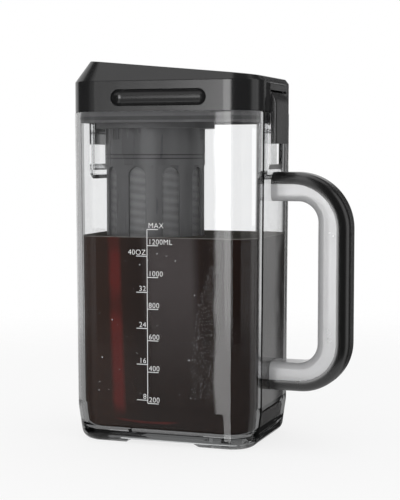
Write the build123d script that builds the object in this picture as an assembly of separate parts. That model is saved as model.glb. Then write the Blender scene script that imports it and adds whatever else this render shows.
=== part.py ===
from build123d import *
import math
import os

# Cold brew jug: a clear rectangular jug with a two-part handle, a lid with a sprung pour lever
# that opens a spout flap, and a strainer basket that hangs in the lid by a bayonet.
# Millimetres. The jug stands on z = 0 with its middle at x = y = 0, the handle on the +X side
# and the spout on the -X side. Each piece is moved at export so that the origin is under the
# middle of the whole outline.

os.makedirs("parts", exist_ok=True)

# Jug
RIM_WIDTH = 126.6
RIM_DEPTH = 94.0
RIM_Z = 211.4
RIM_ROUND = 0.8
CORNER_RADIUS = 20.4
WALL = 3.0
DRAFT = 0.36
HEEL_Z = 22.0
HEEL_DRAFT = 8.0
HEEL_RADIUS = 7.0
HEEL_BLEND = 25.0
FLOOR_Z = 7.0
CHANNEL_HEIGHT = 3.0
CHANNEL_TOP_HALF = 22.0
CHANNEL_BASE_HALF = 25.5

# Recesses in the jug's two end walls, for the lid's tongue and the lever
POCKET_X = 59.2
POCKET_HALF = 14.8
POCKET_WALL = 2.3
POCKET_INNER_Z = 174.3
POCKET_OUTER_Z = 178.5
BEAD_Z = 199.2
BEAD_RADIUS = 1.5
BEAD_PROUD = 0.9

# Handle
HANDLE_RIGHT = 113.3
HANDLE_TOP = 173.5
HANDLE_BOTTOM = 33.6
HANDLE_TOP_RADIUS = 36.0
HANDLE_BOTTOM_RADIUS = 32.0
GRIP_RIGHT = 92.9
GRIP_TOP = 155.0
GRIP_BOTTOM = 52.3
GRIP_RADIUS = 13.0
HANDLE_WIDTH = 24.0
HANDLE_ROUND = 8.0
GRIP_ROUND = 4.5
COVER_FLANK = 7.6
COVER_WALL = 2.6
CORE_STEP = 0.6
ROOT_X = 55.0

# Lid shell
LID_HALF_WIDTH = 63.0
LID_HALF_DEPTH = 46.7
LID_CORNER = 20.2
LID_BASE = 211.5
CREASE_Z = 230.5
CROWN_TAPER = 36.1
CROWN_HEIGHT = 16.0
DECK_Z = 239.2
DECK_SLOPE = 0.095
LID_WALL = 2.2
DECK_WALL = 2.4
CREASE_ROUND = 1.0
DECK_ROUND = 1.2
SCOOP_LENGTH = 63.4
SCOOP_HEIGHT = 10.5
SCOOP_DEPTH = 4.0
SCOOP_Z = 220.0
SCOOP_BACK = 2.0

# Lid ends: raised panel with the lever window, and the tongue at the spout end
PANEL_HALF = 18.8
PANEL_FOOT = 22.5
PANEL_PROUD = 1.3
PANEL_TOP = 229.6
PANEL_SIDE_ROUND = 6.0
PANEL_TOP_ROUND = 1.1
WINDOW_HALF = 14.5
WINDOW_TOP = 224.9
WINDOW_CORNER = 2.0
PANEL_GROOVE = 1.3
GROOVE_CUT = 1.2
TONGUE_HALF = 14.0
TONGUE_BOTTOM = 191.0
TONGUE_INNER = 59.9
TONGUE_OUTER = 63.0
TONGUE_CORNER = 3.0

# Lever and its hinge
LEVER_HALF = 14.2
LEVER_BOTTOM = 191.3
LEVER_TOP = 223.9
LEVER_KNEE = 216.2
LEVER_SETBACK = 3.3
LEVER_FACE_X = 67.3
LEVER_BACK_X = 63.5
LEVER_STEP = 0.3
LEVER_WALL = 2.0
LEVER_EDGE = 1.0
PIVOT_X = 61.0
PIVOT_Z = 221.3
PIVOT_RADIUS = 1.0
RUNNING_GAP = 0.06
NOSE_X = 58.9
NOSE_Z = 213.0
NOSE_RADIUS = 1.2
WEB_LOW = 1.6
WEB_HIGH = 4.0
EAR_GAP = 0.7
EAR_WIDTH = 2.5
EAR_REACH = 2.7

# Lever spring
SPRING_Y = 8.6
SPRING_WIRE = 0.4
SPRING_TURNS = 4
SPRING_PLAY = 0.15
SPRING_LEG = 5.0
SPRING_ROOM = 2.4
ANCHOR_X = 57.6
ANCHOR_WALL = 1.4

# Flap over the spout
FLAP_HALF = 12.7
FLAP_THICK = 1.8
FLAP_LOW_Z = 233.1
SEAL_THICK = 1.7
SEAL_HALF = 11.2
SEAL_LOW_Z = 233.6
HINGE_X = -44.0
HINGE_DEPTH = 2.0
BARREL_RADIUS = 1.9
BARREL_END_RADIUS = 1.35
BARREL_HALF = 17.0
FLAP_PIN_RADIUS = 0.8
FLAP_EAR_LOW = 2.6
FLAP_EAR_HIGH = 1.0
CAM_REACH = 2.0
CAM_RADIUS = 0.8
CAM_START = 13.0
EDGE_GAP = 0.3

# Push rod, forked at both ends so that it pushes and pulls
ROD_HALF = 3.0
ROD_HEIGHT = 2.7
ROD_END_LENGTH = 6.0
ROD_END_DROP = 1.0
PUSH_GAP = 0.12
FORK_WALL = 1.1
FORK_ROOM = 0.3
FORK_OVERLAP = 0.2
FORK_FLOOR = 1.2
ARM_INNER = 13.9
ARM_OUTER = 16.4
YOKE_X = -30.0
YOKE_WIDTH = 4.0
HOOK_INNER = 3.6
HOOK_OUTER = 5.4
HOOK_ROOM = 0.6
HOOK_HEAD = 3.0
SADDLES = (32.0, -10.0)
SADDLE_HALF = 2.0
SADDLE_SIDE = 2.0
SADDLE_PLAY = 0.3
SADDLE_FLOOR = 1.2
SADDLE_HEIGHT = 5.0

# Inner lid: tray, skirt and the ledge that closes the shell
PLUG_GAP = 0.6
SKIRT_WALL = 1.8
SKIRT_BOTTOM = 204.6
TRAY_BOTTOM = 209.7
FLANGE_TOP = 212.7
FLANGE_WIDTH = 7.0
FLANGE_NOTCH = 3.0
GASKET_LOW = 206.1
GASKET_HIGH = 208.5
GASKET_DEPTH = 0.9
GASKET_PROUD = 0.35
GASKET_LIP = 0.8

# Spout channel: wings that hold the coffee back and the mouth under the flap
MOUTH_RIGHT = -47.5
MOUTH_LEFT = -55.9
MOUTH_HALF = 10.3
MOUTH_WALL = 1.4
MOUTH_DEPTH = 3.8
WING_X = -48.7
WING_WALL = 1.5
PORT_TOP = 225.0
STRAINER_LEFT = -54.5
STRAINER_RIGHT = -49.3
STRAINER_INNER = 25.0
STRAINER_OUTER = 35.5
STRAINER_SLOTS = 5
STRAINER_SLOT = 1.0
STRAINER_FRAME = 0.8

# Filter and the bayonet ring that it hangs in
FILTER_X = -19.25
SOCKET_OUTER = 39.0
SOCKET_WALL = 2.0
SOCKET_BOTTOM = 201.3
LIP_TOP = 203.6
LIP_INNER = 32.9
LUGS = 3
LUG_RADIUS = 33.9
LUG_ROOM = 34.2
LUG_LOW = 203.9
LUG_HIGH = 206.0
LUG_ANGLE = 24.0
LIP_GAP_ANGLE = 30.0
TWIST_ANGLE = 30.0
CUP_RADIUS = 32.6
CUP_WALL = 1.8
CUP_TOP = 207.8
CUP_BOTTOM = 177.6
CUP_GROOVES = (182.0, 184.4)
GROOVE_HEIGHT = 0.6
GROOVE_DEPTH = 0.5
RIB_TOP = 200.6
RIB_HEIGHT = 6.5
RIB_WIDTH = 1.1
RIB_PROUD = 0.5
RIB_SPACING = 4.0
CAGE_RADIUS = 32.1
CAGE_WALL = 1.8
CAGE_BOTTOM = 22.0
CAGE_FLOOR = 2.5
CAGE_CHAMFER = 2.2
SPIGOT_TOP = 189.0
SPIGOT_WALL = 1.5
SPIGOT_GAP = 0.1
LEDGE = 0.6
WINDOWS = 9
WINDOW_WIDTH = 11.75
WINDOW_ARCH_TOP = 176.5
WINDOW_SILL = 32.0
WINDOW_START = -70.6
TIER_SPLIT = 105.0
TIER_BAND = 6.0
MESH_WALL = 0.3
DRAIN_RADIUS = 22.0
FILTER_SEAL_RADIUS = 33.8
FILTER_SEAL_GAP = 0.2

CENTRE_X = (HANDLE_RIGHT - RIM_WIDTH / 2) / 2
HINGE_Z = DECK_Z - DECK_SLOPE * HINGE_X - HINGE_DEPTH
CAM_X = HINGE_X + CAM_REACH * math.sin(math.radians(CAM_START))
CAM_Z = HINGE_Z - CAM_REACH * math.cos(math.radians(CAM_START))
CROWN_COS = math.cos(math.radians(CROWN_TAPER))
LEVER_PIN_HALF = LEVER_HALF + EAR_WIDTH
FLAP_PIN_HALF = BARREL_HALF + EDGE_GAP + EAR_WIDTH / 2
SIX_SIDES = 6
FAR = 300.0
HAIR = 0.01


def save(name, shape):
    """Move a piece into the shared frame and write it."""
    export_step(Pos(-CENTRE_X, 0, 0) * shape, f"parts/{name}.step")


def block(x=(-FAR, FAR), y=(-FAR, FAR), z=(-FAR, FAR)):
    """Box between two corners, each axis given as a (low, high) pair or left endless."""
    size = [high - low for low, high in (x, y, z)]
    middle = [(high + low) / 2 for low, high in (x, y, z)]
    return Pos(*middle) * Box(*size)


def prism(points, half_width):
    """Closed outline in the XZ plane, carried to both sides of the centre plane."""
    face = make_face(Polyline(*points, close=True))
    return extrude(Plane.XZ * face, half_width, both=True)


def pair(low, high):
    """Two slabs across Y, one each side of the centre plane, as a cutter or keeper."""
    near = block(y=(-high, -low))
    return near + mirror(near, about=Plane.XZ)


def rod_along_y(x, z, radius, half_length):
    """Round bar across the lid."""
    return Pos(x, 0, z) * Rot(90, 0, 0) * Cylinder(radius, 2 * half_length)


def tube(outer, inner, low, high):
    """Upright ring."""
    return Pos(0, 0, low) * extrude(Circle(outer) - Circle(inner), high - low)


def raise_to(face, low, high):
    """Flat outline carried up from one height to another."""
    return Pos(0, 0, low) * extrude(face, high - low)


def edges_at(shape, z):
    """Edges of a shape that lie level at z."""
    return shape.edges().filter_by_position(Axis.Z, z - HAIR, z + HAIR)


def both_ends(shape):
    """A shape at the handle end and its mirror image at the spout end."""
    return shape, mirror(shape, about=Plane.YZ)


# --- Jug ---

def jug_form(inset, floor_z, blended=False):
    """Drafted body of the jug with its heel, moved inwards by inset and cut at floor_z."""
    heel_z = HEEL_Z + floor_z / 2
    shrink = inset + (RIM_Z - heel_z) * math.tan(math.radians(DRAFT))
    top = Plane(origin=(0, 0, RIM_Z), z_dir=(0, 0, -1))
    outline = RectangleRounded(RIM_WIDTH - 2 * inset, RIM_DEPTH - 2 * inset, CORNER_RADIUS - inset)
    wall = extrude(top * outline, RIM_Z - heel_z, taper=DRAFT)
    heel_top = Plane(origin=(0, 0, heel_z), z_dir=(0, 0, -1))
    lower = RectangleRounded(
        RIM_WIDTH - 2 * shrink, RIM_DEPTH - 2 * shrink, CORNER_RADIUS - shrink
    )
    form = wall + extrude(heel_top * lower, heel_z - floor_z, taper=HEEL_DRAFT)
    if blended:
        form = fillet(edges_at(form, heel_z), HEEL_BLEND)
    return fillet(edges_at(form, floor_z), HEEL_RADIUS)


def end_recess(inset):
    """Room of the recess at the handle end, grown by inset; its floor falls towards the jug."""
    face_x = RIM_WIDTH / 2
    slope = (POCKET_OUTER_Z - POCKET_INNER_Z) / (face_x - POCKET_X)
    drop = inset * math.sqrt(1 + slope ** 2)
    back_x = POCKET_X - inset
    front_x = face_x + WALL
    points = [
        (back_x, RIM_Z + WALL),
        (back_x, POCKET_INNER_Z + slope * (back_x - POCKET_X) - drop),
        (front_x, POCKET_INNER_Z + slope * (front_x - POCKET_X) - drop),
        (front_x, RIM_Z + WALL),
    ]
    return prism(points, POCKET_HALF + inset)


def pitcher():
    body = fillet(edges_at(JUG_SOLID, RIM_Z), RIM_ROUND)
    room = jug_form(WALL, FLOOR_Z)
    for recess in both_ends(end_recess(POCKET_WALL)):
        room -= recess
    body -= room
    for recess in both_ends(end_recess(0)):
        body -= recess
    bead_x = POCKET_X - POCKET_WALL + BEAD_RADIUS - BEAD_PROUD
    for bead in both_ends(rod_along_y(bead_x, BEAD_Z, BEAD_RADIUS, POCKET_HALF)):
        body += bead
    channel = [
        (-CHANNEL_BASE_HALF, 0),
        (-CHANNEL_TOP_HALF, CHANNEL_HEIGHT),
        (CHANNEL_TOP_HALF, CHANNEL_HEIGHT),
        (CHANNEL_BASE_HALF, 0),
    ]
    return body - prism(channel, RIM_DEPTH)


# --- Handle ---

def handle_outline(inset):
    """Outer contour of the handle, moved inwards by inset."""
    right = HANDLE_RIGHT - inset
    top = HANDLE_TOP - inset
    bottom = HANDLE_BOTTOM + inset
    face = Pos((ROOT_X + right) / 2, (top + bottom) / 2) * Rectangle(right - ROOT_X, top - bottom)
    upper = face.vertices().sort_by_distance((right, top, 0))[0]
    face = fillet(upper, HANDLE_TOP_RADIUS - inset)
    lower = face.vertices().sort_by_distance((right, bottom, 0))[0]
    return fillet(lower, HANDLE_BOTTOM_RADIUS - inset)


def grip_outline():
    """Finger opening between the handle and the jug's end wall."""
    left = ROOT_X - WALL
    face = Rectangle(GRIP_RIGHT - left, GRIP_TOP - GRIP_BOTTOM)
    face = Pos((left + GRIP_RIGHT) / 2, (GRIP_TOP + GRIP_BOTTOM) / 2) * face
    return fillet(face.vertices().group_by(Axis.X)[-1], GRIP_RADIUS)


def handle_bar(width):
    """Bar of the handle: well rounded on the outside, lightly on the finger side."""
    bar = extrude(Plane.XZ * handle_outline(0), width / 2, both=True)
    flanks = bar.faces().filter_by(Axis.Y)
    rims = [edge for face in flanks for edge in face.edges() if edge.center().X > ROOT_X + HAIR]
    bar = fillet(rims, HANDLE_ROUND)
    bar -= extrude(Plane.XZ * grip_outline(), width, both=True)
    middle_z = (GRIP_TOP + GRIP_BOTTOM) / 2
    half_height = (GRIP_TOP - GRIP_BOTTOM) / 2 + HAIR
    inner = []
    for face in bar.faces().filter_by(Axis.Y):
        for edge in face.edges():
            place = edge.center()
            level = abs(place.Z - middle_z) < half_height
            if level and ROOT_X + HAIR < place.X < GRIP_RIGHT + HAIR:
                inner.append(edge)
    return fillet(inner, GRIP_ROUND)


def core_room():
    """Space that the clear core takes: all inside the flank line and a tongue under the cover."""
    inside = extrude(Plane.XZ * handle_outline(COVER_FLANK), HANDLE_WIDTH, both=True)
    half = HANDLE_WIDTH / 2 - COVER_WALL
    return inside + extrude(Plane.XZ * handle_outline(COVER_WALL), half, both=True)


def handle_core():
    return (handle_bar(HANDLE_WIDTH - 2 * CORE_STEP) & core_room()) - JUG_SOLID


def handle_cover():
    return handle_bar(HANDLE_WIDTH) - core_room() - JUG_SOLID


# --- Lid shell ---

def lid_form(inset, drop, rounded=False):
    """Outer form of the lid moved inwards by inset, with its sloping deck lowered by drop."""
    width = 2 * (LID_HALF_WIDTH - inset)
    depth = 2 * (LID_HALF_DEPTH - inset)
    outline = RectangleRounded(width, depth, LID_CORNER - inset)
    band = raise_to(outline, LID_BASE, CREASE_Z)
    crown = extrude(Pos(0, 0, CREASE_Z) * outline, CROWN_HEIGHT, taper=CROWN_TAPER)
    deck = Plane(origin=(0, 0, DECK_Z - drop), z_dir=(DECK_SLOPE, 0, 1))
    form = split(band + crown, bisect_by=deck, keep=Keep.BOTTOM)
    if rounded:
        form = fillet(edges_at(form, CREASE_Z), CREASE_ROUND)
        form = fillet(form.faces().sort_by(Axis.Z)[-1].edges(), DECK_ROUND)
    return form


def skin(depth):
    """Lid form moved inwards by the same depth on the crown's slope and on the deck."""
    return lid_form(depth / CROWN_COS, depth)


def scoops():
    """Long rounded finger recesses on the front and back of the band."""
    half = SCOOP_HEIGHT / 2
    radius = (half ** 2 + SCOOP_DEPTH ** 2) / (2 * SCOOP_DEPTH)
    y = LID_HALF_DEPTH - SCOOP_DEPTH + radius
    end = SCOOP_LENGTH / 2 - half
    bar = Rot(0, 90, 0) * Cylinder(radius, 2 * end)
    capsule = bar + Pos(end, 0, 0) * Sphere(radius) + Pos(-end, 0, 0) * Sphere(radius)
    back = Pos(0, y, SCOOP_Z) * capsule
    return back + mirror(back, about=Plane.XZ)


def scoop_backs():
    """Flat-backed bosses inside the shell that carry the wall round the finger recesses."""
    half_length = SCOOP_LENGTH / 2 + SCOOP_BACK
    half_height = SCOOP_HEIGHT / 2 + SCOOP_BACK
    inner_y = LID_HALF_DEPTH - SCOOP_DEPTH - SCOOP_BACK
    bosses = block(x=(-half_length, half_length), z=(SCOOP_Z - half_height, SCOOP_Z + half_height))
    return bosses & pair(inner_y, FAR)


def flap_window():
    """Opening for the flap in the slope and deck, with the slot for its hinge barrel."""
    half = FLAP_HALF + EDGE_GAP
    reach = BARREL_RADIUS + EDGE_GAP
    slot_half = BARREL_HALF + EDGE_GAP
    mouth = block(x=(-FAR, HINGE_X), y=(-half, half), z=(FLAP_LOW_Z - EDGE_GAP, FAR))
    slot = block(
        x=(HINGE_X - reach, HINGE_X + reach), y=(-slot_half, slot_half), z=(CREASE_Z, FAR)
    )
    return mouth + slot


def end_panel():
    """Raised panel on the handle end, its sides eased into the band."""
    outline = make_face(Polyline(
        (LID_HALF_WIDTH - LID_WALL, -PANEL_FOOT),
        (LID_HALF_WIDTH, -PANEL_FOOT),
        (LID_HALF_WIDTH + PANEL_PROUD, -PANEL_HALF),
        (LID_HALF_WIDTH + PANEL_PROUD, PANEL_HALF),
        (LID_HALF_WIDTH, PANEL_FOOT),
        (LID_HALF_WIDTH - LID_WALL, PANEL_FOOT),
        close=True,
    ))
    outline = fillet(outline.vertices().group_by(Axis.X)[-1], PANEL_SIDE_ROUND)
    panel = raise_to(outline, LID_BASE, PANEL_TOP)
    top = [edge for edge in edges_at(panel, PANEL_TOP) if edge.center().X > LID_HALF_WIDTH + HAIR]
    return fillet(top, PANEL_TOP_ROUND)


def lever_window():
    """Opening for the lever in the end panel, and the shadow line above it."""
    half = WINDOW_HALF
    opening = block(
        x=(POCKET_X - LID_WALL, FAR), y=(-half, half), z=(LID_BASE - LID_WALL, WINDOW_TOP)
    )
    opening = fillet(edges_at(opening, WINDOW_TOP).filter_by(Axis.X), WINDOW_CORNER)
    groove = block(
        x=(LID_HALF_WIDTH + PANEL_PROUD - GROOVE_CUT, FAR),
        y=(-PANEL_HALF, PANEL_HALF),
        z=(WINDOW_TOP - PANEL_GROOVE, WINDOW_TOP),
    )
    return opening + groove


def spout_tongue():
    """Tongue under the spout end that drops into the jug's recess."""
    tongue = block(
        x=(-TONGUE_OUTER, -TONGUE_INNER),
        y=(-TONGUE_HALF, TONGUE_HALF),
        z=(TONGUE_BOTTOM, LID_BASE + LID_WALL),
    )
    return fillet(tongue.edges().filter_by(Axis.X).group_by(Axis.Z)[0], TONGUE_CORNER)


def pin_ears():
    """Lugs inside the shell that hold the two hinge pins, and the anchor of the lever's spring."""
    ear = LEVER_HALF + EAR_GAP
    lever = block(
        x=(PIVOT_X - EAR_REACH, LID_HALF_WIDTH - LID_WALL / 2),
        z=(PIVOT_Z - EAR_REACH, PIVOT_Z + EAR_REACH),
    ) & pair(ear, ear + EAR_WIDTH)
    ear = BARREL_HALF + EDGE_GAP
    flap = block(
        x=(HINGE_X - BARREL_RADIUS, HINGE_X + BARREL_RADIUS),
        z=(HINGE_Z - FLAP_EAR_LOW, HINGE_Z + FLAP_EAR_HIGH),
    ) & pair(ear, ear + EAR_WIDTH)
    anchor = block(
        x=(ANCHOR_X - ANCHOR_WALL, ANCHOR_X),
        y=(SPRING_Y - ANCHOR_WALL, SPRING_Y + 2 * ANCHOR_WALL),
        z=(PIVOT_Z, FAR),
    )
    return lever + flap + (anchor & lid_form(LID_WALL / 2, DECK_WALL / 2))


def lid_shell():
    room = lid_form(LID_WALL, DECK_WALL)
    room += Pos(0, 0, -LID_WALL) * room
    room -= scoop_backs()
    shell = lid_form(0, 0, rounded=True) - scoops() + end_panel() - room
    shell += spout_tongue()
    shell += pin_ears()
    shell -= lever_window()
    shell -= flap_window()
    shell -= rod_along_y(PIVOT_X, PIVOT_Z, PIVOT_RADIUS, LEVER_PIN_HALF)
    return shell - rod_along_y(HINGE_X, HINGE_Z, FLAP_PIN_RADIUS, FLAP_PIN_HALF)


# --- Inner lid ---

def plug_outline(grow):
    """Outline of the inner lid inside the rim, stepped in round the end recesses."""
    half_width = RIM_WIDTH / 2 - WALL - PLUG_GAP
    half_depth = RIM_DEPTH / 2 - WALL - PLUG_GAP
    face = RectangleRounded(2 * half_width, 2 * half_depth, CORNER_RADIUS - WALL - PLUG_GAP)
    step_x = POCKET_X - POCKET_WALL - PLUG_GAP
    notch = Rectangle(half_width, 2 * (POCKET_HALF + POCKET_WALL + PLUG_GAP))
    for side in (-1, 1):
        face -= Pos(side * (step_x + half_width / 2), 0) * notch
    return offset(face, amount=grow, kind=Kind.INTERSECTION) if grow else face


def flange():
    """Ledge that closes the lid shell round the tray, open where the lever passes."""
    inside = RectangleRounded(
        2 * (LID_HALF_WIDTH - LID_WALL), 2 * (LID_HALF_DEPTH - LID_WALL), LID_CORNER - LID_WALL
    )
    ring = raise_to(inside - offset(inside, amount=-FLANGE_WIDTH), LID_BASE, FLANGE_TOP)
    ring -= block(x=(-FAR, -TONGUE_INNER), y=(-TONGUE_HALF, TONGUE_HALF))
    notch = WINDOW_HALF + FLANGE_NOTCH
    return ring - block(x=(LID_HALF_WIDTH - FLANGE_WIDTH - FLANGE_NOTCH, FAR), y=(-notch, notch))


def sector(radius, angle, spread):
    """Tall wedge about the filter's axis, out to radius, centred on angle."""
    reach = radius / math.cos(math.radians(spread / 2))
    points = [(0, 0)]
    for turn in (-spread / 2, 0, spread / 2):
        along = math.radians(angle + turn)
        points.append((reach * math.cos(along), reach * math.sin(along)))
    return raise_to(make_face(Polyline(*points, close=True)), 0, FAR)


def filter_socket():
    """Bayonet ring under the tray: its inner lip has a gap for each lug of the filter."""
    ring = tube(SOCKET_OUTER, SOCKET_OUTER - SOCKET_WALL, SOCKET_BOTTOM, TRAY_BOTTOM)
    lip = tube(SOCKET_OUTER - SOCKET_WALL, LIP_INNER, SOCKET_BOTTOM, LIP_TOP)
    for index in range(LUGS):
        lip -= sector(LUG_ROOM, index * 360 / LUGS + TWIST_ANGLE, LIP_GAP_ANGLE)
    room = raise_to(plug_outline(-SKIRT_WALL), SOCKET_BOTTOM, TRAY_BOTTOM)
    return (Pos(FILTER_X, 0, 0) * (ring + lip)) & room


def spout_channel():
    """Wings that keep the coffee at the spout end of the lid, with the mouth under the flap."""
    wall_right = MOUTH_RIGHT + MOUTH_WALL
    outer = MOUTH_HALF + MOUTH_WALL
    mouth = block(x=(-FAR, wall_right), y=(-outer, outer), z=(LID_BASE, FAR)) & skin(MOUTH_DEPTH)
    mouth -= block(x=(MOUTH_LEFT, MOUTH_RIGHT), y=(-MOUTH_HALF, MOUTH_HALF))
    mouth -= block(x=(MOUTH_LEFT + MOUTH_WALL, MOUTH_RIGHT), z=(FLANGE_TOP, PORT_TOP))
    wings = block(x=(WING_X, WING_X + WING_WALL), z=(LID_BASE, FAR)) & pair(outer, FAR)
    wings &= lid_form(LID_WALL, DECK_WALL)
    return mouth + wings - flange()


def rod_bottom(x):
    """Height of the push rod's underside at x, on the straight between its two level ends."""
    left_x, left_z = push_face_x(), CAM_Z + CAM_RADIUS / 2 - ROD_HEIGHT
    right_x, right_z = rod_end_x() - ROD_END_LENGTH, NOSE_Z - ROD_END_DROP
    return left_z + (x - left_x) * (right_z - left_z) / (right_x - left_x)


def push_face_x():
    """Face of the rod's fork that pushes the flap's cam."""
    return CAM_X + CAM_RADIUS + PUSH_GAP


def rod_end_x():
    """Face of the rod's other end that the lever's nose pushes."""
    return NOSE_X - NOSE_RADIUS - PUSH_GAP


def saddle(x):
    """Post on the tray with a slot that guides the push rod."""
    bottom = rod_bottom(x + SADDLE_HALF) - SADDLE_FLOOR
    side = ROD_HALF + SADDLE_SIDE
    slot = ROD_HALF + SADDLE_PLAY
    post = block(
        x=(x - SADDLE_HALF, x + SADDLE_HALF),
        y=(-side, side),
        z=((TRAY_BOTTOM + LID_BASE) / 2, bottom + SADDLE_HEIGHT),
    )
    return post - block(y=(-slot, slot), z=(bottom, FAR))


def strainer_holes():
    """Pour openings in the tray at the spout end, clear of the filter's socket."""
    room = block(x=(STRAINER_LEFT, STRAINER_RIGHT), z=(TRAY_BOTTOM, LID_BASE))
    return room & pair(STRAINER_INNER, STRAINER_OUTER)


def lid_plug():
    outline = plug_outline(0)
    skirt = raise_to(outline - plug_outline(-SKIRT_WALL), SKIRT_BOTTOM, LID_BASE)
    plug = skirt + raise_to(outline, TRAY_BOTTOM, LID_BASE) + flange()
    for x in SADDLES:
        plug += saddle(x)
    groove = plug_outline(PLUG_GAP) - plug_outline(-GASKET_DEPTH)
    plug -= raise_to(groove, GASKET_LOW, GASKET_HIGH)
    return plug - strainer_holes()


def lid_seal():
    """Soft ring in the skirt's groove, with one lip against the jug."""
    inner = plug_outline(-GASKET_DEPTH)
    middle = (GASKET_LOW + GASKET_HIGH) / 2
    back = raise_to(plug_outline(0) - inner, GASKET_LOW, GASKET_HIGH)
    lip = plug_outline(GASKET_PROUD) - inner
    return back + raise_to(lip, middle - GASKET_LIP / 2, middle + GASKET_LIP / 2)


def spout_strainers():
    """Slotted plates that close the two pour openings of the tray."""
    plates = strainer_holes()
    pitch = (STRAINER_OUTER - STRAINER_INNER) / STRAINER_SLOTS
    across = (STRAINER_LEFT + STRAINER_FRAME, STRAINER_RIGHT - STRAINER_FRAME)
    for index in range(STRAINER_SLOTS):
        y = STRAINER_INNER + pitch * (index + 0.5)
        plates -= pair(y - STRAINER_SLOT / 2, y + STRAINER_SLOT / 2) & block(x=across)
    return plates


# --- Lever, push rod and flap ---

def lever_profile(inset):
    """Side view of the lever: a flat face that curves back at the top, moved in by inset."""
    face_x = LEVER_FACE_X - inset
    knee = (face_x, LEVER_KNEE)
    brow = (face_x - LEVER_SETBACK, LEVER_TOP - inset)
    bottom = LEVER_BOTTOM + inset
    nose_low = NOSE_Z - NOSE_RADIUS
    back = Polyline(
        brow,
        (NOSE_X, LEVER_TOP - inset),
        (NOSE_X, nose_low),
        (LEVER_BACK_X, nose_low - LEVER_STEP),
        (LEVER_BACK_X, bottom),
        (face_x, bottom),
        knee,
    )
    return make_face([TangentArc(knee, brow, tangent=(0, 1)), back])


def pour_lever():
    outer = extrude(Plane.XZ * lever_profile(0), LEVER_HALF, both=True)
    face = outer.faces().sort_by(Axis.X)[-1]
    rims = [edge for edge in face.edges() if abs(edge.center().Y) > LEVER_HALF - HAIR]
    lever = fillet(rims, LEVER_EDGE)
    hollow = extrude(Plane.XZ * lever_profile(LEVER_WALL), LEVER_HALF - LEVER_WALL, both=True)
    lever -= hollow + Pos(-2 * LEVER_WALL, 0, 0) * hollow
    lever += rod_along_y(NOSE_X, NOSE_Z, NOSE_RADIUS, LEVER_HALF - LEVER_WALL / 2)
    web_x = LEVER_FACE_X - LEVER_WALL / 2
    web = [
        (NOSE_X, NOSE_Z - NOSE_RADIUS),
        (web_x, NOSE_Z - WEB_LOW),
        (web_x, NOSE_Z + WEB_HIGH),
        (NOSE_X, NOSE_Z + NOSE_RADIUS),
    ]
    lever += prism(web, ROD_HALF)
    lever -= rod_along_y(PIVOT_X, PIVOT_Z, PIVOT_RADIUS + RUNNING_GAP, FAR)
    return lever - block(
        x=(-FAR, PIVOT_X + SPRING_ROOM),
        y=(SPRING_Y - SPRING_ROOM, SPRING_Y + SPRING_ROOM),
        z=(PIVOT_Z - SPRING_ROOM, FAR),
    )


def lever_pin():
    return rod_along_y(PIVOT_X, PIVOT_Z, PIVOT_RADIUS, LEVER_PIN_HALF)


def flap_pin():
    return rod_along_y(HINGE_X, HINGE_Z, FLAP_PIN_RADIUS, FLAP_PIN_HALF)


def spring_leg(start, end):
    """Straight six-sided run of spring wire between two points."""
    along = Vector(*end) - Vector(*start)
    section = Plane(origin=start, z_dir=along) * RegularPolygon(SPRING_WIRE, SIX_SIDES)
    return extrude(section, along.length)


def lever_spring():
    """Close-wound torsion spring round the lever's pin, with a leg to the shell's anchor."""
    radius = PIVOT_RADIUS + SPRING_WIRE + SPRING_PLAY
    pitch = 2 * SPRING_WIRE * math.cos(math.pi / SIX_SIDES) - HAIR
    first = SPRING_Y - pitch * (SPRING_TURNS - 1) / 2
    last = first + pitch * (SPRING_TURNS - 1)
    rings = Sketch()
    for index in range(SPRING_TURNS):
        wire = Rot(0, 0, 180 / SIX_SIDES) * RegularPolygon(SPRING_WIRE, SIX_SIDES)
        rings += Pos(radius, first + index * pitch) * wire
    spring = Pos(PIVOT_X, 0, PIVOT_Z) * revolve(rings, axis=Axis.Y)
    top_z = PIVOT_Z + radius
    front_x = PIVOT_X + radius
    spring += spring_leg((PIVOT_X, last, top_z), (ANCHOR_X, last, top_z))
    return spring + spring_leg((front_x, first, PIVOT_Z), (front_x, first, PIVOT_Z - SPRING_LEG))


def rod_forks():
    """Side outline of the forks that hold the flap's cams from below."""
    top = CAM_Z + CAM_RADIUS / 2
    low = top - ROD_HEIGHT
    right = push_face_x()
    gap_left = CAM_X - CAM_RADIUS - PUSH_GAP
    floor = CAM_Z - CAM_RADIUS - FORK_ROOM
    points = [
        (right + FORK_WALL, top),
        (right, top),
        (right, floor),
        (gap_left, floor),
        (gap_left, CAM_Z + FORK_OVERLAP),
        (gap_left - FORK_WALL, CAM_Z + FORK_OVERLAP),
        (gap_left - FORK_WALL, floor - FORK_FLOOR),
        (right + FORK_WALL, low),
    ]
    return prism(points, ARM_OUTER) & pair(ARM_INNER, ARM_OUTER)


def rod_hooks():
    """Head of the rod at the lever, with two hooks over the lever's nose."""
    end = rod_end_x()
    low = NOSE_Z - ROD_END_DROP
    under = NOSE_Z + NOSE_RADIUS + HOOK_ROOM
    tip = NOSE_X + NOSE_RADIUS + PUSH_GAP
    points = [
        (end - HOOK_HEAD, low),
        (end, low),
        (end, under),
        (tip, under),
        (tip, NOSE_Z),
        (tip + FORK_WALL, NOSE_Z),
        (tip + FORK_WALL, under + FORK_FLOOR),
        (end - HOOK_HEAD, under + FORK_FLOOR),
    ]
    head = block(x=(end - HOOK_HEAD, end), y=(-HOOK_OUTER, HOOK_OUTER), z=(low, low + ROD_HEIGHT))
    return head + (prism(points, HOOK_OUTER) & pair(HOOK_INNER, HOOK_OUTER))


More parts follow.
